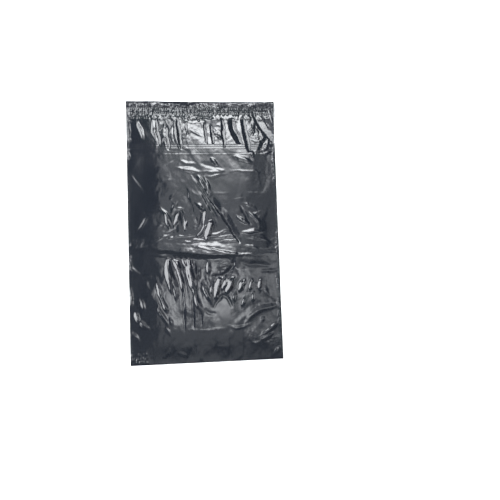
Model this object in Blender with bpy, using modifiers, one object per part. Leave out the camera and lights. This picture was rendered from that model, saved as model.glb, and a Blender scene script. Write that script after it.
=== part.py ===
"""Black film mailer bag, lying empty on its back with the closing flap laid open.

Metres, +Z up. The origin is at the centre of the underside. X runs across the
bag and +Y runs from the bottom fold towards the flap's free edge. One film is
folded at the bottom and welded down both sides, so the back panel, the flap
and the front panel are one solid with an open mouth. The adhesive strip and
the release liner that covers it lie on the flap.
"""

import bpy
from mathutils import Vector

# Driving dimensions
BAG_WIDTH = 0.350
POCKET_LENGTH = 0.508
FLAP_LENGTH = 0.104
FILM = 0.0001          # film thickness
WELD = 0.006           # width of the fused band at each side and at the bottom fold
POCKET_GAP = 0.0066    # clear height inside the pocket, away from the welds
PANEL_RISE = 0.055     # distance over which the front panel rises to that height

ADHESIVE_SIZE = Vector((0.338, 0.011, 0.0001))
LINER_SIZE = Vector((0.342, 0.014, 0.0001))
STRIP_INSET = 0.0095   # flap edge to the middle of the adhesive strip
PIECE_GAP = 0.0003     # air between pieces that rest on each other

# Worked out
BAG_LENGTH = POCKET_LENGTH + FLAP_LENGTH
BOTTOM_Y = -BAG_LENGTH / 2
TOP_Y = BAG_LENGTH / 2
MOUTH_Y = BOTTOM_Y + POCKET_LENGTH
STRIP_Y = TOP_Y - STRIP_INSET
OVERLAP = FILM / 2     # depth to which the front panel is fused into the back panel

# The front panel's grid
COLUMNS = 30
ROWS = 44

# Creases that stand up from the front panel: start, end, height and half width
CREASES = (
    ((-0.124, -0.036), (0.150, -0.054), 0.0040, 0.020),   # across the middle
    ((-0.022, 0.130), (0.090, -0.034), 0.0020, 0.014),    # slanting down to it
    ((-0.065, 0.143), (0.148, 0.134), 0.0015, 0.012),     # across, below the mouth
    ((-0.054, -0.070), (-0.018, -0.160), 0.0022, 0.012),  # upright, below the middle
    ((-0.070, -0.228), (0.110, -0.224), 0.0015, 0.012),   # across, above the bottom fold
)

COLLECTION = "mailer_bag"
CUTTERS = "cutters"


def clear_scene():
    for old in list(bpy.data.objects):
        bpy.data.objects.remove(old, do_unlink=True)


def make_collection(name):
    collection = bpy.data.collections.new(name)
    bpy.context.scene.collection.children.link(collection)
    return collection


def move_to(obj, collection):
    for owner in list(obj.users_collection):
        owner.objects.unlink(obj)
    collection.objects.link(obj)


def plastic(name, colour, roughness):
    material = bpy.data.materials.new(name)
    material.use_nodes = True
    shader = material.node_tree.nodes["Principled BSDF"]
    shader.inputs["Base Color"].default_value = (*colour, 1.0)
    shader.inputs["Roughness"].default_value = roughness
    shader.inputs["Metallic"].default_value = 0.0
    return material


def slab(name, size, centre, material):
    """A flat rectangular piece of the given size."""
    bpy.ops.mesh.primitive_cube_add(size=1.0, location=centre)
    obj = bpy.context.object
    obj.name = name
    obj.scale = size
    bpy.ops.object.transform_apply(location=False, rotation=False, scale=True)
    obj.data.materials.append(material)
    return obj


def eased(distance):
    """0 at a weld, rising steeply first and levelling out at PANEL_RISE."""
    share = min(max(distance / PANEL_RISE, 0.0), 1.0)
    return share * (2.0 - share)


def crease_height(x, y):
    """The highest crease at a point. Each one fades out at its ends and sides."""
    point = Vector((x, y))
    highest = 0.0
    for start, end, height, half_width in CREASES:
        start, end = Vector(start), Vector(end)
        run = end - start
        along = (point - start).dot(run) / run.length_squared
        if not 0.0 < along < 1.0:
            continue
        aside = (point - start - run * along).length / half_width
        if aside < 1.0:
            highest = max(highest, height * 4.0 * along * (1.0 - along) * (1.0 - aside * aside))
    return highest


def panel_height(x, y):
    """Underside of the front panel above the top of the back panel."""
    from_side = eased(BAG_WIDTH / 2 - WELD - abs(x))
    from_fold = eased(y - BOTTOM_Y - WELD)
    rise = from_side * from_fold
    return rise * (POCKET_GAP + crease_height(x, y)) - OVERLAP


def banded(share, low, high, count, bands):
    """Grid line positions where the outer cells are as wide as the welded bands."""
    step = round(share * count)
    first, last = bands
    if step == 0:
        return low
    if step == count:
        return high
    inner_low, inner_high = low + first, high - last
    steps = count - (first > 0) - (last > 0)
    return inner_low + (inner_high - inner_low) * (step - (first > 0)) / steps


def front_panel(material):
    """The front half of the film: a sheet crowned over the pocket, with its creases."""
    bpy.ops.mesh.primitive_grid_add(x_subdivisions=COLUMNS, y_subdivisions=ROWS, size=1.0)
    panel = bpy.context.object
    panel.name = "front_panel"
    for vertex in panel.data.vertices:
        across, along = vertex.co.x + 0.5, vertex.co.y + 0.5
        x = banded(across, -BAG_WIDTH / 2, BAG_WIDTH / 2, COLUMNS, (WELD, WELD))
        y = banded(along, BOTTOM_Y, MOUTH_Y, ROWS, (WELD, 0.0))
        vertex.co = (x, y, FILM + panel_height(x, y))
    sheet = panel.modifiers.new("film", "SOLIDIFY")
    sheet.thickness = FILM
    sheet.offset = 1.0
    panel.data.materials.append(material)
    return panel


def bag_film(material, cutters):
    """Back panel and flap in one length, fused to the front panel at sides and bottom."""
    film = slab("bag_film", (BAG_WIDTH, BAG_LENGTH, FILM), (0.0, 0.0, FILM / 2), material)
    panel = front_panel(material)
    panel.hide_render = True
    panel.display_type = "WIRE"
    move_to(panel, cutters)
    fuse = film.modifiers.new("fused_panels", "BOOLEAN")
    fuse.operation = "UNION"
    fuse.solver = "EXACT"
    fuse.object = panel
    return film


def flap_strips(adhesive_material, liner_material):
    adhesive_z = FILM + PIECE_GAP + ADHESIVE_SIZE.z / 2
    adhesive = slab("adhesive_strip", ADHESIVE_SIZE, (0.0, STRIP_Y, adhesive_z), adhesive_material)
    liner_z = adhesive_z + ADHESIVE_SIZE.z / 2 + PIECE_GAP + LINER_SIZE.z / 2
    liner = slab("release_liner", LINER_SIZE, (0.0, STRIP_Y, liner_z), liner_material)
    return adhesive, liner


def build():
    clear_scene()
    parts = make_collection(COLLECTION)
    cutters = make_collection(CUTTERS)
    film_black = plastic("film", (0.018, 0.022, 0.028), 0.22)
    glue = plastic("adhesive", (0.10, 0.10, 0.11), 0.35)
    liner_film = plastic("liner", (0.05, 0.055, 0.065), 0.25)
    pieces = [bag_film(film_black, cutters)]
    pieces.extend(flap_strips(glue, liner_film))
    for piece in pieces:
        move_to(piece, parts)


build()
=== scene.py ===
"""Looks of the black film mailer bag: crinkled glossy film, its welds, hem, perforated
lines, adhesive strip and release liner, on a pale floor under soft studio light."""

import math

import bpy
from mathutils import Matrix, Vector
import numpy as np


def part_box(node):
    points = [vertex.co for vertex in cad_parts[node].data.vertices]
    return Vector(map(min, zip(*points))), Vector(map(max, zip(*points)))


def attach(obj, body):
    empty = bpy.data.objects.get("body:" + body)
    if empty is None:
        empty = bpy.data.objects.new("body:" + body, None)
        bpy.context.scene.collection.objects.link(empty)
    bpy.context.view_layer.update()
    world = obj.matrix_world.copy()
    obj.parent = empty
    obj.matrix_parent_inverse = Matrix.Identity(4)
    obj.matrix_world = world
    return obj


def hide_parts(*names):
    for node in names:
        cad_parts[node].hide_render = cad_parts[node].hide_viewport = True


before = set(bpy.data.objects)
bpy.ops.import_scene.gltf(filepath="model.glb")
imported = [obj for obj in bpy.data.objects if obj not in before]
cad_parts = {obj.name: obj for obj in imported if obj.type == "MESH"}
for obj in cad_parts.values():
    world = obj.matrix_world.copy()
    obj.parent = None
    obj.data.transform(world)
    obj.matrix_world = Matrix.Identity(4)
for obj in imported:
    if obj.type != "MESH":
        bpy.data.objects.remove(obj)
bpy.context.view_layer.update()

MM = 0.001

# ---------------------------------------------------------------- sizes from the frame

FILM_LOW, FILM_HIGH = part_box("bag_film")
STRIP_LOW, STRIP_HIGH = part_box("adhesive_strip")
LINER_LOW, LINER_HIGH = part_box("release_liner")

HALF_WIDTH = FILM_HIGH[0]
BOTTOM = FILM_LOW[1]
TOP = FILM_HIGH[1]
FLAP = 0.1025
MOUTH = TOP - FLAP
GAUGE = 0.08 * MM          # film thickness

# ---------------------------------------------------------------- relief canvas
# The film's relief is drawn on a fine raster in millimetres and then read by the meshes.

CELL = 1.0                 # raster cell, mm
MARGIN = 12.0              # raster border outside the bag, mm
X0 = -HALF_WIDTH / MM - MARGIN
Y0 = BOTTOM / MM - MARGIN
COLUMNS = int(round((2 * HALF_WIDTH / MM + 2 * MARGIN) / CELL)) + 1
ROWS = int(round(((TOP - BOTTOM) / MM + 2 * MARGIN) / CELL)) + 1
AXIS_X = X0 + CELL * np.arange(COLUMNS)
AXIS_Y = Y0 + CELL * np.arange(ROWS)
GRID_X, GRID_Y = np.meshgrid(AXIS_X, AXIS_Y)

relief = np.zeros_like(GRID_X)
crumple = np.zeros_like(GRID_X)
ruffles = np.zeros_like(GRID_X)
drift_x, drift_y = GRID_X, GRID_Y   # the raster's points, moved a little so that lines waver

LIT_SIDE = (-0.75, 0.66)   # the side of the bag that the window and the bright end are on
CREST = 1.1                # how peaked a crease's crest is
ROUNDED = 1.3              # how rounded a pleat's crest is
SLENDER = 0.75             # how much narrower a crease is at its ends, as a share
HEM_LINES = ((1.0, 0.26, 1.1), (5.6, 0.24, 1.1), (10.6, 0.26, 1.1), (24.5, 0.12, 1.2))
DOTTED_ROWS = (17.5, 28.5)  # perforated lines, mm from the flap's free edge
DOT_PITCH = 4.6 * MM


def smooth(value):
    value = np.clip(value, 0.0, 1.0)
    return value * value * (3.0 - 2.0 * value)


def curve_through(points, spacing=3.0):
    """A smooth line through the points, as closely spaced points."""
    points = np.array(points, float)
    if len(points) == 2:
        count = max(2, int(np.hypot(*(points[1] - points[0])) / spacing) + 1)
        share = np.linspace(0.0, 1.0, count)[:, None]
        return points[0] * (1 - share) + points[1] * share
    padded = np.vstack([2 * points[0] - points[1], points, 2 * points[-1] - points[-2]])
    line = []
    for before, start, end, after in zip(padded, padded[1:], padded[2:], padded[3:]):
        count = max(2, int(np.hypot(*(end - start)) / spacing) + 1)
        t = np.linspace(0.0, 1.0, count, endpoint=False)[:, None]
        line.append(0.5 * (2 * start + (end - before) * t
                           + (2 * before - 5 * start + 4 * end - after) * t * t
                           + (3 * start - before - 3 * end + after) * t ** 3))
    line.append(points[-1:])
    return np.vstack(line)


def cells_near(points, reach):
    """Slices of the raster that hold everything within reach of the points."""
    low = np.min(points, axis=0) - reach
    high = np.max(points, axis=0) + reach
    first_column, last_column = (int((x - X0) / CELL) for x in (low[0], high[0]))
    first_row, last_row = (int((y - Y0) / CELL) for y in (low[1], high[1]))
    columns = slice(max(0, first_column), min(COLUMNS, last_column + 2))
    rows = slice(max(0, first_row), min(ROWS, last_row + 2))
    return rows, columns


def line_field(line, part):
    """For each raster point: signed distance to the line, left side positive, and share along."""
    px, py = drift_x[part], drift_y[part]
    best = np.full(px.shape, 1e9)
    side = np.zeros(px.shape)
    along = np.zeros(px.shape)
    lengths = np.hypot(*(line[1:] - line[:-1]).T)
    total = lengths.sum()
    done = 0.0
    for start, end, length in zip(line, line[1:], lengths):
        if length < 1e-6:
            continue
        ux, uy = (end - start) / length
        dx, dy = px - start[0], py - start[1]
        run = np.clip(dx * ux + dy * uy, 0.0, length)
        away = np.hypot(dx - run * ux, dy - run * uy)
        nearer = away < best
        best = np.where(nearer, away, best)
        side = np.where(nearer, np.sign(ux * dy - uy * dx), side)
        along = np.where(nearer, (done + run) / total, along)
        done += length
    return best * side, along


def crease(points, height, left, right=None, point=0.8, skew=0.5, rounded=False):
    """A crest along a line, or a groove if height is negative. left and right are how far
    it reaches on either side of its direction of travel, point how slender its ends are
    and skew where along it is highest. A rounded one has no sharp crest."""
    right = left if right is None else right
    line = curve_through(points)
    part = cells_near(line, max(left, right))
    away, along = line_field(line, part)
    bent = np.clip(along, 1e-6, 1.0) ** (math.log(0.5) / math.log(skew))
    ends = np.sin(np.pi * np.clip(bent, 0.0, 1.0)) ** point
    reach = np.where(away >= 0, left, right) * (1.0 - SLENDER + SLENDER * ends)
    share = np.clip(np.abs(away) / reach, 0.0, 1.0)
    side = 1.0 - share ** ROUNDED if rounded else (1.0 - share) ** CREST
    relief[part] += height * side * ends


def lit_slope(x, y, to_x, to_y):
    """Slope at which a face that looks along (to_x, to_y) mirrors the diffuser's bright
    end, if it looks along +Y, or the window, if it looks along -X. Both change a little
    over the bag, because the camera is near it."""
    to_bright_end = max(0.06, 0.20 - 0.00061 * y)
    to_window = 0.46 + 0.0004 * x
    return to_bright_end * to_y ** 2 + to_window * to_x ** 2


def pleat(points, bright, dark, steep=1.0, point=1.0, skew=0.5):
    """A raised pleat along a line. The face on its lit side is bright mm wide and tilted so
    that it shines, times steep. The face behind it is dark mm wide."""
    run_x, run_y = points[-1][0] - points[0][0], points[-1][1] - points[0][1]
    length = math.hypot(run_x, run_y)
    out_x, out_y = -run_y / length, run_x / length
    left_looks_out = out_x * LIT_SIDE[0] + out_y * LIT_SIDE[1] > 0
    left, right = (bright, dark) if left_looks_out else (dark, bright)
    middle = points[len(points) // 2]
    slope = 0.85 * steep * lit_slope(middle[0], middle[1], out_x, out_y)
    crease(points, (bright + 1.0) * slope, left, right, point, skew, rounded=True)


def facets(seed, spacing_x, spacing_y, height, angle=0.0, weight=None):
    """Crumpled film: a jittered lattice of points at random heights, joined by flat
    triangles. The lattice is stretched and turned by angle degrees."""
    rng = np.random.default_rng(seed)
    turn = math.radians(angle)
    cos, sin = math.cos(turn), math.sin(turn)
    reach = math.hypot(HALF_WIDTH, TOP) / MM + 2 * max(spacing_x, spacing_y)
    across = int(2 * reach / spacing_x) + 1
    along = int(2 * reach / spacing_y) + 1
    u = (np.arange(across)[None, :] + rng.uniform(-0.42, 0.42, (along, across))) * spacing_x - reach
    v = (np.arange(along)[:, None] + rng.uniform(-0.42, 0.42, (along, across))) * spacing_y - reach
    u = u + np.where(np.arange(along)[:, None] % 2, spacing_x / 2, 0.0)
    x, y = u * cos - v * sin, u * sin + v * cos
    tall = rng.normal(0.0, height, (along, across))
    if weight is not None:
        tall = tall * read(weight, x * MM, y * MM)
    diagonal = rng.random((along, across)) < 0.5
    shape = np.zeros_like(relief)
    low_x, high_x, low_y, high_y = AXIS_X[0], AXIS_X[-1], AXIS_Y[0], AXIS_Y[-1]
    near = (x > low_x - spacing_x) & (x < high_x) & (y > low_y - spacing_y) & (y < high_y + spacing_y)
    for j in range(along - 1):
        for i in range(across - 1):
            if not near[j, i]:
                continue
            a, b, c, d = (j, i), (j, i + 1), (j + 1, i + 1), (j + 1, i)
            pairs = ((a, b, c), (a, c, d)) if diagonal[j, i] else ((a, b, d), (b, c, d))
            for corners in pairs:
                fill_triangle(shape, [(x[k], y[k], tall[k]) for k in corners])
    return shape


def fill_triangle(shape, corners):
    """Writes a flat triangle's heights into the raster cells that it covers."""
    (ax, ay, ah), (bx, by, bh), (cx, cy, ch) = corners
    area = (bx - ax) * (cy - ay) - (cx - ax) * (by - ay)
    if abs(area) < 1e-9:
        return
    left = max(0, int(math.ceil((min(ax, bx, cx) - X0) / CELL)))
    right = min(COLUMNS, int((max(ax, bx, cx) - X0) / CELL) + 1)
    below = max(0, int(math.ceil((min(ay, by, cy) - Y0) / CELL)))
    above = min(ROWS, int((max(ay, by, cy) - Y0) / CELL) + 1)
    if left >= right or below >= above:
        return
    px, py = AXIS_X[None, left:right] - ax, AXIS_Y[below:above, None] - ay
    second = (px * (cy - ay) - (cx - ax) * py) / area
    third = ((bx - ax) * py - px * (by - ay)) / area
    covered = (second >= 0) & (third >= 0) & (second + third <= 1)
    block = shape[below:above, left:right]
    block[covered] = (ah + second * (bh - ah) + third * (ch - ah))[covered]


def soft_patch(field, points, radius, value):
    """Raises a 0 to 1 field towards value in a soft band around a line."""
    line = curve_through(points)
    part = cells_near(line, radius)
    away, _ = line_field(line, part)
    share = smooth(1.0 - np.abs(away) / radius)
    field[part] += (value - field[part]) * share


def waves(seed, wavelength_x, wavelength_y, height, octaves=1):
    """Smooth random swell over the whole raster."""
    rng = np.random.default_rng(seed)
    total = np.zeros_like(relief)
    for octave in range(octaves):
        scale = 2.0 ** octave
        for _ in range(14):
            angle = rng.uniform(0.0, 2 * math.pi)
            kx = 2 * math.pi * scale * math.cos(angle) / wavelength_x
            ky = 2 * math.pi * scale * math.sin(angle) / wavelength_y
            total += np.sin(kx * GRID_X + ky * GRID_Y + rng.uniform(0, 2 * math.pi)) / scale / 14 ** 0.5
    return height * total


def blurred(field, passes):
    for _ in range(passes):
        inner = field.copy()
        inner[1:-1] = (field[:-2] + 2 * field[1:-1] + field[2:]) / 4
        field = inner.copy()
        field[:, 1:-1] = (inner[:, :-2] + 2 * inner[:, 1:-1] + inner[:, 2:]) / 4
    return field


def read(field, x, y):
    """Bilinear value of a raster field at points in metres."""
    fx = np.clip((x / MM - X0) / CELL, 0, COLUMNS - 1.001)
    fy = np.clip((y / MM - Y0) / CELL, 0, ROWS - 1.001)
    ix, iy = fx.astype(int), fy.astype(int)
    ux, uy = fx - ix, fy - iy
    return ((field[iy, ix] * (1 - ux) + field[iy, ix + 1] * ux) * (1 - uy)
            + (field[iy + 1, ix] * (1 - ux) + field[iy + 1, ix + 1] * ux) * uy)


# ---------------------------------------------------------------- the creases, in millimetres

def patchwork(ground, patches, passes=6):
    """A soft-edged field: ground everywhere, and each patch's value along its line."""
    field = np.full_like(relief, ground)
    for points, radius, value in patches:
        soft_patch(field, points, radius, value)
    return blurred(field, passes)


def crumple_map():
    """How crumpled the film is from place to place: 0 is smooth, 1 is fully crumpled."""
    return patchwork(0.30, (
        (((-150, 230), (-140, 130), (-130, 0), (-128, -40)), 34, 0.04),     # smooth left side
        (((-150, 200), (-150, 60)), 34, 0.04),
        (((-134, 262), (-134, 200)), 18, 0.02),
        (((-90, 234), (150, 234)), 40, 0.42),                               # flap
        (((20, 232), (40, 232)), 14, 0.9),
        (((120, 240), (140, 216)), 18, 0.8),
        (((-170, 266), (160, 266)), 8, 0.9),
        (((-160, 296), (170, 296)), 12, 1.2),
        (((-160, -50), (-60, -60), (60, -64)), 16, 0.02),                   # under the main fold
        (((-60, -36), (120, -40)), 12, 0.05),
        (((-150, -80), (-120, -110)), 30, 0.12),
        (((20, 100), (110, 100)), 36, 0.08),                                # calm upper right
        (((120, 170), (160, 150)), 24, 0.12),
        (((-20, -120), (60, -130), (140, -140)), 34, 0.45),                 # below the fold
        (((130, -60), (120, -80)), 24, 0.10),
        (((40, -170), (40, -220)), 24, 0.10),
        (((-110, -270), (-150, -240)), 34, 0.06),
        (((-60, -280), (120, -280)), 24, 0.30),
        (((100, -255), (165, -260)), 22, 0.8),
        (((-172, -290), (-140, -300)), 16, 1.0),
    ))


def gather_map():
    """Where the film is drawn into narrow upright gathers below the main fold."""
    return patchwork(0.0, (
        (((-74, -104), (-40, -116), (0, -120)), 40, 1.0),
        (((20, -130), (110, -140), (150, -140)), 30, 0.6),
        (((-70, -180), (-10, -190)), 34, 0.35),
        (((60, -170), (120, -165)), 24, 0.35),
        (((-100, -150), (-90, -200)), 26, 0.4),
        (((-60, -270), (110, -270)), 34, 0.22),
    ))


def curtain_map():
    """Where the upper panel hangs in soft slanting waves."""
    return patchwork(0.0, (
        (((-100, 30), (-40, 30), (10, 40)), 40, 1.0),
        (((-60, 90), (-30, 80)), 34, 0.6),
        (((100, 30), (150, 20)), 30, 0.5),
        (((40, 160), (110, 160)), 26, 0.7),
    ))


def liner_map():
    """The release liner at the flap's free edge is the most crinkled film of all."""
    return patchwork(0.0, (
        (((-174, 294), (174, 294)), 12, 0.5),
        (((-100, 294), (60, 294)), 12, 1.0),
        (((-176, 280), (-126, 280)), 7, 0.8),
        (((-60, 266), (40, 266)), 8, 0.35),
    ), passes=2)


def ruffle_map():
    """Where the welded edges are crimped into bright chips."""
    return patchwork(0.25, (
        (((-178, 262), (-176, 200)), 12, 1.0),
        (((-178, 190), (-172, 172)), 12, 1.0),
        (((-178, 140), (-178, 20)), 12, 0.15),
        (((-178, -58), (-172, -80)), 12, 0.9),
        (((-178, -130), (-178, -170)), 10, 0.8),
        (((-178, -270), (-150, -306)), 16, 1.0),
        (((178, 168), (172, 120)), 12, 1.0),
        (((176, -10), (176, -54)), 12, 1.0),
        (((178, -110), (178, -140)), 10, 0.8),
        (((178, -165), (178, -225)), 12, 0.9),
        (((160, -250), (178, -290)), 16, 0.8),
    ), passes=3)


def flap_gathers():
    """Upright gathers of the flap: nearly flat panels with dark tucks between them."""
    tucks = (
        # points from the top down, depth, reach to the left and to the right of the line
        (((-107, 262), (-104, 240), (-100, 215), (-99, 200)), 1.5, 5, 3),
        (((-90, 252), (-95, 241), (-101, 230)), 0.6, 3, 3),
        (((-84, 244), (-81, 216), (-77, 188)), 1.5, 5, 3),
        (((-67, 246), (-66, 222), (-65, 204)), 0.5, 2.5, 2),
        (((-56, 270), (-53, 240), (-47, 190)), 2.0, 6, 3),
        (((-36, 258), (-36, 240), (-34, 224)), 1.2, 4, 3),
        (((-12, 274), (-5, 257)), 1.0, 4, 3),
        (((8, 262), (9, 235), (11, 202)), 1.2, 4.5, 3),
        (((22, 252), (25, 232), (28, 202)), 1.6, 6, 3),
        (((51, 268), (52, 240), (54, 192)), 2.0, 6, 3),
        (((100, 272), (103, 245), (110, 212), (114, 184)), 2.6, 10, 4),
    )
    for points, depth, left, right in tucks:
        crease(points, -depth, right, left, point=0.35)
    # pressed line between the two perforated rows, and the puckers across them
    crease(((-175, 283), (160, 283)), -1.0, 4, 4, point=0.1)
    rng = np.random.default_rng(31)
    for x in np.arange(-168, 168, 9.6) + rng.uniform(-3.6, 3.6, 35):
        tall, lean = rng.uniform(0.8, 1.6), rng.uniform(-1.5, 1.5)
        crease(((x, 291), (x + lean, 282), (x, 271)), tall, 3.0, 3.5, point=0.4)
    for x in np.arange(-176, -112, 8.6) + rng.uniform(-2.0, 2.0, 8):
        pleat(((x, 286), (x + 1, 273)), 4, 4, point=0.3)
    # dark hollow under the strip, a dark wedge that narrows downwards, and the right corner
    crease(((-10, 268), (10, 268), (30, 266)), -1.8, 4, 5, point=0.4)
    crease(((74, 266), (82, 240), (94, 203)), -3.6, 3, 17, point=0.35, skew=0.35)
    crease(((126, 296), (147, 260), (178, 212)), -4.0, 5, 18, point=0.35)
    crease(((156, 218), (148, 204), (136, 190)), -1.5, 6, 8, point=0.5)
    for points, bright, dark in (
        (((-151, 262), (-144, 240), (-136, 212)), 3, 6),
        (((-117, 266), (-114, 240), (-108, 206)), 2.5, 4),
        (((-61, 262), (-59, 232), (-53, 190)), 4, 3),
        (((156, 256), (161, 240), (167, 222)), 4, 4),
        (((160, 304), (166, 276), (174, 246)), 3, 4),
        (((-180, 258), (-166, 268), (-150, 272)), 4, 4),
        (((-172, 258), (-170, 240), (-168, 226)), 3, 4),
        (((-60, 258), (-30, 256), (28, 257)), 3, 3),
        (((60, 264), (80, 260), (98, 256)), 3, 3),
        (((-120, 274), (-70, 272), (-20, 274)), 3, 3),
        (((-30, 240), (-16, 230), (4, 222)), 4, 3),
        (((-50, 221), (-40, 218), (-32, 220)), 3, 3),
        (((30, 246), (40, 250), (48, 244)), 4, 3),
        (((30, 232), (38, 226), (48, 214)), 4, 3),
        (((118, 244), (124, 238), (126, 230)), 3, 3),
        (((112, 216), (128, 211), (146, 212)), 3, 3),
        (((150, 190), (158, 202), (168, 190)), 5, 6),
    ):
        pleat(points, bright, dark)


def main_fold():
    """The long fold across the middle: a gentle slope up from the mouth's side that drops
    off short on the bottom's side and runs out at the right."""
    crease(((-190, -34), (-110, -44), (-40, -53), (20, -59), (84, -62)), 3.6, 38, 9, point=0.8)
    crease(((-60, -54), (0, -60), (70, -63), (140, -61), (200, -56)), 2.6, 38, 34, point=0.6)
    for points, bright, dark in (
        (((-130, -28), (-104, -20), (-76, -8)), 2.5, 4),
        (((-104, -28), (-84, -20), (-50, -14), (-10, -13)), 3, 4),
        (((-60, -29), (-30, -28), (-8, -27)), 3, 3),
        (((-34, -25), (-14, -24), (8, -27)), 3, 3),
        (((-34, -36), (-10, -42), (30, -50), (64, -58), (110, -60)), 3, 6),
        (((0, -52), (40, -56), (76, -60), (150, -62)), 2, 4),
        (((-20, -19), (20, -12), (44, -6), (66, -2)), 4, 4),
        (((10, -20), (44, -18), (80, -14)), 3, 4),
        (((30, -30), (56, -26), (82, -26)), 3, 5),
        (((96, -20), (120, -22), (150, -28)), 3, 3),
        (((88, -38), (110, -42), (130, -50)), 3, 3),
    ):
        pleat(points, bright, dark)
    # the smooth hollow just below it, which turns down at its right end
    crease(((-175, -58), (-100, -64), (0, -70), (50, -70), (76, -96)), -1.5, 8, 22, point=0.4)


def fold_map():
    """Where the main fold carries fine ripples along its length."""
    return patchwork(0.0, ((((-90, -32), (0, -34), (90, -40), (140, -44)), 20, 1.0),), passes=3)


def upper_panel():
    # long dark groove slanting down to the main fold, and the shallow one beside it
    crease(((-30, 136), (-3, 98), (28, 52), (54, 14), (82, -34)), -2.8, 17, 4, point=0.4, skew=0.66)
    crease(((-18, 108), (6, 68), (34, 14)), -1.3, 9, 4, point=0.5)
    for points, depth, left, right in (
        (((-46, 112), (-32, 66), (-16, 14)), 1.0, 5, 9),
        (((-52, 50), (-50, 24), (-46, -2)), 1.3, 4, 7),
        (((-2, 60), (-4, 30), (-14, 2)), 1.1, 10, 5),
        (((18, 32), (24, 16), (28, 0)), 0.9, 4, 6),
        (((84, 56), (98, 36), (112, 10)), 1.3, 5, 8),
        (((-100, 0), (-88, -6), (-60, 2)), 0.6, 6, 6),
        (((-6, 160), (20, 150), (50, 142)), 0.7, 10, 7),
    ):
        crease(points, -depth, left, right, point=0.5)
    for points, bright, dark in (
        (((-14, 132), (4, 100), (14, 84)), 4, 4),
        (((2, 126), (12, 104), (12, 80)), 4, 4),
        (((24, 60), (40, 34), (60, 4)), 3, 3),
        # bright band across, below the mouth
        (((-64, 147), (-34, 140), (0, 136)), 9, 5),
        (((-56, 164), (-36, 158), (-14, 153)), 5, 4),
        (((-6, 136), (30, 136), (58, 134)), 4, 3),
        (((-4, 124), (24, 126), (60, 132)), 4, 3),
        (((26, 148), (40, 142), (56, 138)), 4, 3),
        (((56, 136), (90, 139), (156, 132)), 3, 3),
        (((118, 142), (132, 134), (140, 138)), 3, 3),
        (((68, 176), (90, 168), (124, 154)), 9, 5),
        (((18, 170), (30, 158), (38, 150)), 5, 6),
        (((116, 188), (122, 170)), 5, 4),
        (((134, 180), (150, 180), (172, 190)), 4, 4),
        (((-44, 200), (-34, 190), (-30, 196)), 4, 4),
        (((-110, 116), (-80, 117), (-60, 116)), 2.5, 2.5),
        # short curls at the right
        (((88, 60), (110, 56), (126, 44)), 4, 4),
        (((74, 36), (84, 22), (108, 11)), 6, 4),
        (((100, 38), (114, 33), (140, 42)), 4, 4),
        (((66, 70), (82, 71), (96, 69)), 3, 3),
        (((82, -8), (110, -8), (140, -6)), 7, 4),
        (((18, 86), (34, 85), (66, 84)), 2, 2),
        (((94, 85), (110, 84), (152, 84)), 2, 2),
        (((104, 40), (126, 20), (130, -4)), 4, 4),
        # upright curls at the left
        (((-56, 46), (-64, 22), (-70, 2)), 5, 5),
        (((-66, 50), (-54, 50), (-42, 38)), 4, 4),
        (((-104, 58), (-88, 36), (-70, 8)), 5, 5),
        (((-90, 36), (-84, 16), (-78, 0)), 4, 4),
        (((-42, 22), (-42, 10), (-44, 0)), 4, 3),
        (((-28, 4), (-20, 5), (-14, 2)), 3, 3),
        (((-24, 62), (-10, 56), (2, 44)), 4, 4),
        (((-112, 2), (-100, 14), (-84, 6)), 3, 3),
    ):
        pleat(points, bright, dark)
    # fainter ones
    for points, bright, dark in (
        (((-126, 36), (-140, 16), (-156, -4)), 4, 4),
        (((-140, 50), (-128, 38), (-112, 34)), 4, 4),
        (((-30, 96), (-20, 84), (-10, 80)), 5, 5),
        (((-66, 88), (-74, 78), (-80, 66)), 5, 5),
        (((-60, 70), (-70, 50), (-76, 34)), 6, 7),
    ):
        pleat(points, bright, dark, steep=0.4)
    # the bright fin that stands on the main fold
    pleat(((19, 20), (14, 0), (7, -24)), 12, 4, steep=0.85, point=0.3)
    pleat(((4, 12), (-6, -4), (-18, -18)), 4, 4, point=0.4)


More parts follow.
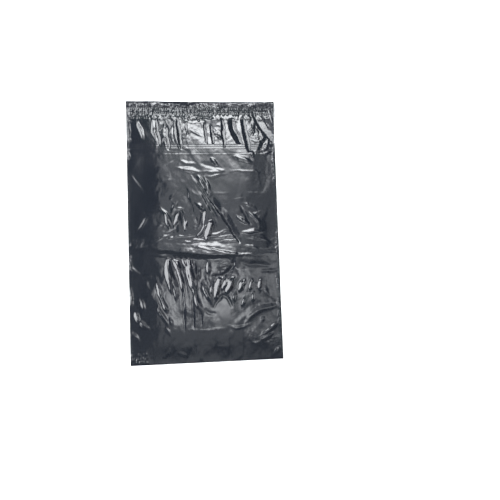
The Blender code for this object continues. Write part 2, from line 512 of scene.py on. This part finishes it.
def lower_panel():
    for points, bright, dark in (
        (((-88, -60), (-86, -100), (-82, -125), (-79, -148)), 8, 12),
        (((-77, -64), (-66, -84), (-59, -108)), 5, 9),
        (((-77, -96), (-73, -126), (-69, -168)), 4, 9),
        (((-61, -94), (-58, -116), (-55, -144)), 3, 7),
        (((-41, -60), (-35, -98), (-29, -128), (-24, -154)), 10, 12),
        (((-32, -136), (-22, -168), (-7, -200)), 4, 9),
        (((-30, -68), (-24, -96), (-20, -120)), 4, 7),
        (((-17, -86), (-15, -102), (-17, -118)), 3, 5),
        (((7, -70), (5, -90), (6, -108)), 4, 8),
        (((-11, -118), (0, -146), (8, -163), (16, -180)), 5, 8),
        (((-103, -154), (-96, -172), (-88, -192)), 5, 7),
        (((-113, -116), (-108, -140), (-101, -166)), 3, 7),
        (((-117, -160), (-103, -194), (-83, -226)), 3.5, 7),
        (((-162, -182), (-159, -198), (-155, -212)), 5, 6),
        (((-160, -202), (-145, -213), (-128, -227)), 5, 6),
        (((-172, -128), (-171, -150), (-172, -176)), 3, 3),
        (((-180, -226), (-166, -240), (-152, -254)), 4, 7),
        (((122, -252), (148, -234), (168, -218)), 5, 7),
        (((44, -224), (70, -230), (104, -222)), 2.5, 4),
        # crumpled triangle below the fold's right end
        (((18, -77), (38, -79), (64, -75)), 5, 2.5),
        (((22, -84), (40, -87), (60, -81)), 5, 2.5),
        (((27, -91), (42, -94), (54, -88)), 5, 2.5),
        (((31, -98), (40, -101), (48, -95)), 4, 3),
        (((-176, -58), (-170, -82), (-146, -102)), 5, 4),
        # puffs
        (((36, -110), (30, -134), (21, -164)), 13, 3.5),
        (((18, -114), (14, -136), (11, -160)), 5, 3),
        (((68, -112), (59, -130), (48, -152)), 15, 3.5),
        (((50, -114), (45, -128), (37, -144)), 7, 3),
        (((92, -118), (85, -132), (76, -148)), 9, 4),
        (((108, -118), (102, -146)), 6, 4),
        (((130, -118), (126, -148)), 8, 4),
        (((69, -144), (62, -174)), 4, 4),
        (((112, -146), (106, -176)), 4, 4),
        (((90, -156), (82, -184)), 4, 4),
        (((-54, -60), (-49, -76), (-41, -94)), 4, 6),
        (((-110, -102), (-140, -103), (-178, -102)), 2.5, 2.5),
        (((-95, -107), (-130, -108), (-178, -107)), 2.5, 2.5),
        (((98, -262), (112, -268), (124, -262)), 4, 4),
        (((154, -294), (164, -284), (172, -278)), 5, 4),
        (((120, -264), (136, -254), (156, -244)), 5, 5),
    ):
        pleat(points, bright, dark)
    # fainter ones
    for points, bright, dark in (
        (((-152, -150), (-146, -168), (-138, -186)), 5, 6),
        (((84, -226), (106, -202), (128, -190), (180, -180)), 10, 7),
        (((134, -208), (126, -218)), 6, 5),
        (((18, -270), (46, -272)), 3, 3),
        (((-60, -231), (0, -233), (56, -230)), 2.5, 2.5),
        (((-70, -280), (-56, -286), (-44, -292)), 4, 4),
        (((-96, -220), (-88, -236), (-78, -248)), 4, 4),
        (((-86, -200), (-78, -222)), 6, 6),
    ):
        pleat(points, bright, dark, steep=0.45)
    for points, depth, left, right in (
        (((-54, -150), (-53, -190), (-52, -238)), 1.0, 4, 5),
        (((-32, -156), (-31, -200), (-30, -232)), 1.0, 4, 5),
        (((-14, -186), (-14, -225)), 0.8, 4, 4),
        (((70, -66), (60, -92), (38, -108), (12, -110)), 2.2, 8, 5),
        (((130, -98), (155, -101), (178, -96)), 1.0, 5, 5),
        (((80, -76), (110, -84), (150, -86)), 1.2, 10, 8),
        (((15, -184), (29, -163), (40, -155), (52, -166), (60, -184)), 1.3, 4, 4),
        (((20, -240), (22, -300)), 0.7, 3, 3),
        (((52, -244), (52, -300)), 0.7, 3, 3),
        (((84, -240), (86, -300)), 0.7, 3, 3),
        (((-30, -250), (-30, -300)), 0.6, 3, 3),
        (((-6, -184), (4, -192), (22, -196)), 0.8, 5, 5),
    ):
        crease(points, -depth, left, right, point=0.5)


def edge_chips():
    """Short crimped chips that catch the light along stretches of both welded edges."""
    rng = np.random.default_rng(47)
    for x, high, low, gap in (
        (-171, 268, 204, 5.0), (-171, 194, 172, 5.0), (-172, -56, -82, 6.0), (-172, -130, -172, 7.0),
        (171, 168, 118, 6.0), (172, -8, -56, 7.0), (172, -108, -140, 7.0), (171, -164, -226, 7.0),
    ):
        for y in np.arange(high, low, -gap):
            from_x, to_x = x + rng.uniform(-3.0, 3.0, 2)
            y = y + rng.uniform(-1.5, 1.5)
            pleat(((from_x, y), (to_x, y - rng.uniform(4.0, 8.0))), 3.5, 3, point=0.5)
    for x in np.arange(-173, -134, 6.5):
        for y in (-283, -292, -300):
            lean = rng.uniform(-2.0, 2.0)
            pleat(((x + lean, y + 4), (x + 1 - lean, y - 4)), 3.5, 3, steep=rng.uniform(0.5, 1.1), point=0.5)


def draw_relief():
    """Fills the relief raster: crumple everywhere, then the creases one by one."""
    global relief, crumple, ruffles, drift_x, drift_y
    drift_x = GRID_X + waves(21, 34.0, 34.0, 0.9, 3)
    drift_y = GRID_Y + waves(22, 34.0, 34.0, 0.9, 3)
    from_weld = np.minimum(HALF_WIDTH / MM - np.abs(GRID_X), GRID_Y - BOTTOM / MM)
    inside = np.minimum(from_weld, TOP / MM - GRID_Y)
    crumple = crumple_map()
    ruffles = ruffle_map()
    relief += waves(3, 160.0, 220.0, 0.35, 2)
    relief += facets(5, 30.0, 52.0, 0.9, 12.0, crumple)
    relief += facets(6, 12.0, 20.0, 0.42, -14.0, crumple)
    relief += facets(7, 5.0, 8.0, 0.17, 8.0, crumple)
    relief += facets(8, 6.0, 44.0, 0.60, 9.0, gather_map())
    relief += facets(9, 15.0, 44.0, 0.55, 16.0, curtain_map())
    relief += facets(10, 7.0, 7.0, 1.2, 20.0, liner_map())
    relief += facets(11, 64.0, 6.5, 0.32, -4.0, fold_map())
    flap_gathers()
    main_fold()
    upper_panel()
    lower_panel()
    edge_chips()
    base = 0.5 + 2.8 * smooth(from_weld / 78.0)
    from_top = TOP / MM - GRID_Y
    # the flap's free edge curls up, most at its ends, and rolls over at the very edge
    at_ends = smooth((np.abs(GRID_X + 20) - 70) / 30)
    curl = (1.0 + 2.9 * at_ends) * np.clip(1.0 - from_top / 24.0, 0, 1)
    curl -= (0.9 + 0.9 * at_ends) * smooth(1.0 - from_top / 3.5)
    # its right corner is bent up
    beyond = ((GRID_X - 126) * 82 + (GRID_Y - 294) * 54) / math.hypot(82, 54)
    corner = 0.17 * np.maximum(beyond - 4.0, 0.0)
    relief = relief * smooth((inside + 4.0) / 9.0) + base + curl + corner
    relief = np.maximum(relief, 0.2)
    relief = blurred(relief, 1)


# ---------------------------------------------------------------- meshes

def apply_all(obj):
    bpy.ops.object.select_all(action="DESELECT")
    obj.select_set(True)
    bpy.context.view_layer.objects.active = obj
    for modifier in list(obj.modifiers):
        bpy.ops.object.modifier_apply(modifier=modifier.name)


def grid_sheet(name, xs, ys, height, thickness, down=True):
    """A sheet on the given grid lines, at height(x, y), thickened to a closed film."""
    bpy.ops.object.select_all(action="DESELECT")
    bpy.ops.mesh.primitive_grid_add(x_subdivisions=len(xs) - 1, y_subdivisions=len(ys) - 1, size=2.0)
    obj = bpy.context.object
    obj.name = name
    mesh = obj.data
    mesh.name = name
    points = np.empty(len(mesh.vertices) * 3)
    mesh.vertices.foreach_get("co", points)
    points = points.reshape(-1, 3)
    column = np.rint((points[:, 0] + 1) / 2 * (len(xs) - 1)).astype(int)
    row = np.rint((points[:, 1] + 1) / 2 * (len(ys) - 1)).astype(int)
    x, y = xs[column], ys[row]
    points[:, 0], points[:, 1], points[:, 2] = x, y, height(x, y)
    mesh.vertices.foreach_set("co", points.ravel())
    mesh.update()
    store = mesh.attributes.new("crumple", "FLOAT", "POINT")
    store.data.foreach_set("value", read(crumple, x, y) ** 2)
    edge = np.minimum.reduce([HALF_WIDTH - np.abs(x), y - BOTTOM + 0.002]) / MM
    store = mesh.attributes.new("ruffle", "FLOAT", "POINT")
    store.data.foreach_set("value", smooth(1.0 - edge / 8.0) * read(ruffles, x, y))
    store = mesh.attributes.new("dots", "FLOAT", "POINT")
    store.data.foreach_set("value", dotted_rows(y))
    solid = obj.modifiers.new("film", "SOLIDIFY")
    solid.thickness = thickness
    solid.offset = -1.0 if down else 1.0
    apply_all(obj)
    bpy.ops.object.shade_smooth_by_angle(angle=math.radians(70.0))
    return obj


def dotted_rows(y):
    """1 on the two perforated lines of the flap, fading out over a little more than 1 mm."""
    total = np.zeros_like(y)
    for inset in DOTTED_ROWS:
        total += np.clip(1.6 - np.abs(TOP / MM - inset - y / MM) / 1.6, 0.0, 1.0)
    return total


def under_share(y):
    """How much of the relief the back film keeps under the front panel: all of it in the
    flap, little of it further down the pocket."""
    return 0.12 + 0.88 * smooth((y / MM - (MOUTH / MM - 60.0)) / 56.0)


def back_height(x, y):
    return MM * read(relief, x, y) * under_share(y) + GAUGE


def front_height(x, y):
    inside = np.minimum(HALF_WIDTH - np.abs(x), y - BOTTOM) / MM
    gap = 0.12 + 0.6 * smooth((inside - 4.0) / 40.0)
    surface = MM * (read(relief, x, y) + hem(y))
    return surface + GAUGE + MM * gap + GAUGE


def hem(y):
    """Fine pressed lines along the mouth: inset from it, height and half width in mm."""
    total = np.zeros_like(y)
    for inset, tall, wide in HEM_LINES:
        away = np.abs(y / MM - (MOUTH / MM - inset)) / wide
        total += tall * np.clip(1.0 - away, 0.0, 1.0)
    return total


def film_pieces():
    xs = np.linspace(-HALF_WIDTH, HALF_WIDTH, 214)
    ys = np.concatenate([
        np.linspace(BOTTOM, -0.072, 81, endpoint=False),
        np.linspace(-0.072, -0.004, 38, endpoint=False),
        np.linspace(-0.004, 0.120, 46, endpoint=False),
        np.linspace(0.120, MOUTH - 0.026, 27, endpoint=False),
        np.linspace(MOUTH - 0.026, MOUTH, 29),
    ])
    front = grid_sheet("front_panel", xs, ys, front_height, GAUGE)
    xs = np.linspace(-HALF_WIDTH, HALF_WIDTH, 320)
    ys = np.concatenate([
        np.linspace(BOTTOM, MOUTH - 0.030, 40, endpoint=False),
        np.linspace(MOUTH - 0.030, TOP, 105),
    ])
    back = grid_sheet("back_panel_and_flap", xs, ys, back_height, GAUGE)
    return front, back


def strip_pieces():
    def over_flap(lift):
        return lambda x, y: MM * read(relief, x, y) + GAUGE + lift
    glue = grid_sheet(
        "glue_strip", np.linspace(STRIP_LOW[0], STRIP_HIGH[0], 226),
        np.linspace(STRIP_LOW[1], STRIP_HIGH[1], 9), over_flap(0.14 * MM), 0.1 * MM)
    liner = grid_sheet(
        "liner_film", np.linspace(LINER_LOW[0], LINER_HIGH[0], 226),
        np.linspace(LINER_LOW[1], LINER_HIGH[1], 11), over_flap(0.22 * MM), 0.05 * MM)
    return glue, liner


# ---------------------------------------------------------------- materials

def new_material(name):
    material = bpy.data.materials.new(name)
    material.use_nodes = True
    tree = material.node_tree
    return material, tree, tree.nodes["Principled BSDF"]


def mapped_noise(tree, place, stretch, detail):
    """A noise over object space, stretched by three scales in features a metre."""
    nodes, links = tree.nodes, tree.links
    mapping = nodes.new("ShaderNodeMapping")
    mapping.inputs["Scale"].default_value = stretch
    noise = nodes.new("ShaderNodeTexNoise")
    noise.inputs["Scale"].default_value = 1.0
    noise.inputs["Detail"].default_value = detail
    links.new(place.outputs["Object"], mapping.inputs["Vector"])
    links.new(mapping.outputs["Vector"], noise.inputs["Vector"])
    return noise.outputs["Fac"]


def times(tree, first, second):
    node = tree.nodes.new("ShaderNodeMath")
    node.operation = "MULTIPLY"
    for socket, value in zip(node.inputs, (first, second)):
        if isinstance(value, float):
            socket.default_value = value
        else:
            tree.links.new(value, socket)
    return node.outputs[0]


def plus(tree, first, second):
    node = tree.nodes.new("ShaderNodeMath")
    node.operation = "ADD"
    tree.links.new(first, node.inputs[0])
    tree.links.new(second, node.inputs[1])
    return node.outputs[0]


def painted(tree, name):
    node = tree.nodes.new("ShaderNodeAttribute")
    node.attribute_name = name
    return node.outputs["Fac"]


def film_material():
    """Glossy black film: fine crumple where it is crumpled, crimps along the welds,
    faint die lines along its length and a slight haze that comes and goes."""
    material, tree, shader = new_material("black_film")
    nodes, links = tree.nodes, tree.links
    shader.inputs["Base Color"].default_value = (0.010, 0.012, 0.016, 1.0)
    shader.inputs["Specular IOR Level"].default_value = 0.5
    place = nodes.new("ShaderNodeTexCoord")
    crumpled = painted(tree, "crumple")
    haze = mapped_noise(tree, place, (22.0, 9.0, 22.0), 3.0)
    rough = nodes.new("ShaderNodeMapRange")
    rough.inputs["From Min"].default_value = 0.3
    rough.inputs["From Max"].default_value = 0.7
    rough.inputs["To Min"].default_value = 0.06
    rough.inputs["To Max"].default_value = 0.14
    links.new(haze, rough.inputs["Value"])
    links.new(rough.outputs["Result"], shader.inputs["Roughness"])
    fine = times(tree, mapped_noise(tree, place, (170.0, 115.0, 130.0), 1.5), crumpled)
    crimps = nodes.new("ShaderNodeMath")
    crimps.operation = "SUBTRACT"
    crimps.inputs[1].default_value = 0.5
    links.new(mapped_noise(tree, place, (110.0, 260.0, 90.0), 1.0), crimps.inputs[0])
    crimps = times(tree, crimps.outputs[0], painted(tree, "ruffle"))
    die_lines = times(tree, mapped_noise(tree, place, (700.0, 3.0, 20.0), 1.0), 0.02)
    split = nodes.new("ShaderNodeSeparateXYZ")
    links.new(place.outputs["Object"], split.inputs["Vector"])
    beat = nodes.new("ShaderNodeMath")
    beat.operation = "SINE"
    links.new(times(tree, split.outputs["X"], 2 * math.pi / DOT_PITCH), beat.inputs[0])
    dots = times(tree, beat.outputs[0], painted(tree, "dots"))
    height = plus(tree, plus(tree, times(tree, fine, 1.3), times(tree, crimps, 2.6)), die_lines)
    height = plus(tree, height, times(tree, dots, 0.30))
    bump = nodes.new("ShaderNodeBump")
    bump.inputs["Strength"].default_value = 1.0
    bump.inputs["Distance"].default_value = 0.001
    links.new(height, bump.inputs["Height"])
    links.new(bump.outputs["Normal"], shader.inputs["Normal"])
    return material


def strip_material(name, colour, roughness):
    material, _, shader = new_material(name)
    shader.inputs["Base Color"].default_value = (*colour, 1.0)
    shader.inputs["Roughness"].default_value = roughness
    return material


def floor_material():
    material, _, shader = new_material("pale_floor")
    shader.inputs["Base Color"].default_value = (0.93, 0.93, 0.93, 1.0)
    shader.inputs["Roughness"].default_value = 0.9
    shader.inputs["Specular IOR Level"].default_value = 0.1
    return material


def dress(piece, material, slot, *nodes):
    piece.data.materials.clear()
    piece.data.materials.append(material)
    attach(piece, "root")
    if nodes:
        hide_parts(*nodes)


# ---------------------------------------------------------------- studio

CEILING = 2.0
WINDOW = 13.0              # radiance of the window's middle


def softbox(name, place, size, power, colour):
    """A square area light aimed at the middle of the bag."""
    data = bpy.data.lights.new(name, "AREA")
    data.shape = "SQUARE"
    data.size = size
    data.energy = power
    data.color = colour
    lamp = bpy.data.objects.new(name, data)
    bpy.context.scene.collection.objects.link(lamp)
    lamp.location = place
    lamp.rotation_euler = (-Vector(place)).to_track_quat("-Z", "Y").to_euler()


def swell(value, middle, reach):
    """1 at the middle and 0 beyond its reach on either side, without corners."""
    return smooth(1.0 - np.abs(value - middle) / reach)


def glow(x, y):
    """Radiance of the diffuser above the bag: bright towards the flap, dim over the pocket,
    with soft-edged sides. near leads up to the bright end, core and key are that end, low
    and calm are weak spots lower down and east is the faint far side."""
    sides = smooth((x + 0.30) / 0.12) * smooth((0.95 - x) / 0.12)
    east = 1.5 * smooth((x - 0.55) / 0.4) * smooth((1.8 - x) / 0.3) * swell(y, -0.16, 0.42)
    dim = 0.95 * smooth((y + 0.85) / 0.30) + 0.50 * smooth((y + 0.35) / 0.25)
    dim = dim * (1.0 - 0.5 * smooth((x - 0.40) / 0.14))
    near = 4.6 * smooth((y - 0.32) / 0.44) ** 2 * (0.12 + 0.88 * smooth(x / 0.16))
    core = smooth((y - 0.70) / 0.16) * smooth((1.42 - y) / 0.3)
    key = core * (7.0 + 9.5 * swell(x, 0.18, 0.60) * smooth((y - 0.72) / 0.26))
    low = 6.5 * smooth((x + 0.25) / 0.35) * swell(y, -0.075, 0.22)
    low = low * (1.0 - 0.75 * smooth((x - 0.26) / 0.22)) * smooth((1.3 - x) / 0.4)
    calm = 1.0 * swell(x, 0.21, 0.20) * swell(y, -0.26, 0.15)
    key = key * smooth((x + 0.16) / 0.14)
    return sides * (dim + (near + key) * smooth((0.74 - x) / 0.12) + calm) + low + east


def light_panel(name, centre, across, up, wide, deep, radiance):
    """A flat panel of light seen mirrored in the film. across and up are its two sides'
    directions, wide and deep its size and radiance its brightness at (u, v) from its centre."""
    bpy.ops.mesh.primitive_grid_add(x_subdivisions=100, y_subdivisions=118, size=1.0)
    panel = bpy.context.object
    panel.name = name
    mesh = panel.data
    points = np.empty(len(mesh.vertices) * 3)
    mesh.vertices.foreach_get("co", points)
    u, v = points.reshape(-1, 3)[:, 0] * wide, points.reshape(-1, 3)[:, 1] * deep
    points = np.array(centre) + u[:, None] * np.array(across) + v[:, None] * np.array(up)
    mesh.vertices.foreach_set("co", points.ravel())
    mesh.update()
    store = mesh.attributes.new("glow", "FLOAT", "POINT")
    store.data.foreach_set("value", radiance(u, v))
    material = bpy.data.materials.new(name)
    material.use_nodes = True
    tree = material.node_tree
    tree.nodes.clear()
    emission = tree.nodes.new("ShaderNodeEmission")
    emission.inputs["Color"].default_value = (0.96, 0.98, 1.0, 1.0)
    output = tree.nodes.new("ShaderNodeOutputMaterial")
    tree.links.new(painted(tree, "glow"), emission.inputs["Strength"])
    tree.links.new(emission.outputs["Emission"], output.inputs["Surface"])
    mesh.materials.append(material)
    panel.visible_camera = False


def diffuser():
    """The level panel above the bag."""
    middle_x, middle_y = 0.74, 0.28
    light_panel("diffuser", (middle_x, middle_y, CEILING), (1, 0, 0), (0, 1, 0), 2.12, 2.36,
                lambda u, v: glow(middle_x + u, middle_y + v))


def window_light():
    """The tall window at the left, which leans over the bag and is dimmer high up."""
    place = Vector((-1.27, 0.34, 1.45))
    across = Vector((-place.y, place.x, 0.0)).normalized()
    up = place.cross(across).normalized()
    if up.z < 0:
        up = -up

    def radiance(u, v):
        sides = smooth((1.3 - np.abs(u)) / 0.4)
        return WINDOW * sides * smooth((v + 0.65) / 0.3) * smooth((0.85 - v) / 0.5)

    light_panel("window", place, across, up, 2.6, 2.2, radiance)


def studio():
    bpy.ops.object.select_all(action="DESELECT")
    bpy.ops.mesh.primitive_plane_add(size=8.0, location=(0.0, 0.0, -0.0002))
    floor = bpy.context.object
    floor.name = "floor"
    floor.data.materials.append(floor_material())
    diffuser()
    window_light()
    softbox("right", (1.9, -0.3, 1.3), 0.9, 9.0, (0.95, 0.97, 1.0))
    world = bpy.data.worlds.new("studio")
    bpy.context.scene.world = world
    world.use_nodes = True
    background = world.node_tree.nodes["Background"]
    background.inputs["Color"].default_value = (0.92, 0.96, 1.0, 1.0)
    background.inputs["Strength"].default_value = 0.24
    bpy.context.scene.view_settings.view_transform = "Standard"


def camera():
    data = bpy.data.cameras.new("camera")
    data.sensor_width = 36.0
    data.lens = 43.2
    data.clip_start = 0.01
    eye = bpy.data.objects.new("camera", data)
    bpy.context.scene.collection.objects.link(eye)
    eye.location = (-0.0901, -0.1744, 1.3928)
    eye.rotation_euler = [math.radians(a) for a in (5.344, -7.821, -2.102)]
    bpy.context.scene.camera = eye


# ---------------------------------------------------------------- build

def build():
    camera()
    draw_relief()
    black = film_material()
    front, back = film_pieces()
    glue, liner = strip_pieces()
    dress(front, black, "film", "bag_film")
    dress(back, black, "film", "bag_film")
    dress(glue, strip_material("glue", (0.03, 0.03, 0.033), 0.4), "adhesive", "adhesive_strip")
    dress(liner, black, "liner", "release_liner")
    studio()


build()
